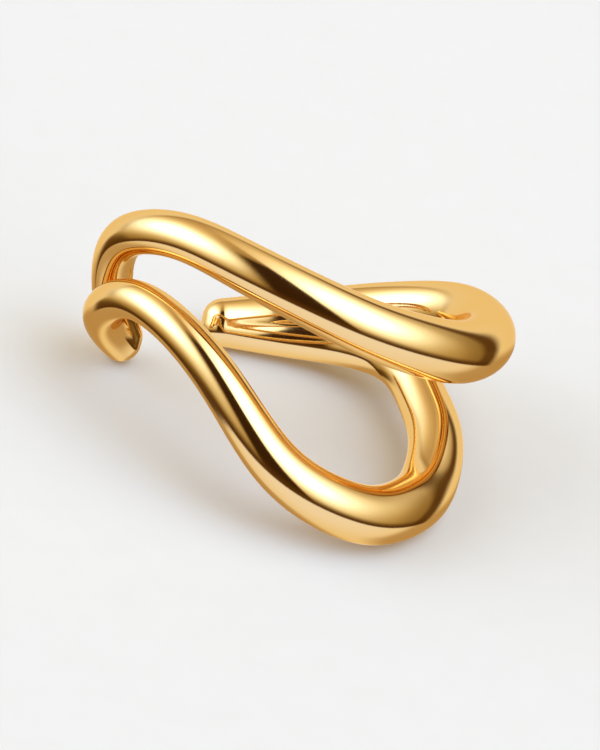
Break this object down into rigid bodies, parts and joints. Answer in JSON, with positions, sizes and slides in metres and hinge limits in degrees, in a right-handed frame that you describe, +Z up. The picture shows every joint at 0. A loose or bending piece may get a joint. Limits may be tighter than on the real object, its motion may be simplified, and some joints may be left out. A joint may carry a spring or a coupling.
{
  "type": "ear cuff",
  "caption": "Ear cuff: waved round wires run side by side round an open oval ring and join at its ends. It slips over the rim of an ear. Polished yellow metal.",
  "frame": {"origin": "on the surface that the cuff lies on, under the middle of its bounding box", "axes": "+Z up as the cuff lies on its lower wave, +X towards the side that goes round the outer edge of the ear, -Y towards the waved front; the opening between the tips is at the back left"},
  "size_m": [0.015, 0.0136, 0.0088],
  "materials": {
    "gold": "polished"
  },
  "bodies": {
    "root": {"ear_cuff": "gold"}
  },
  "joints": []
}
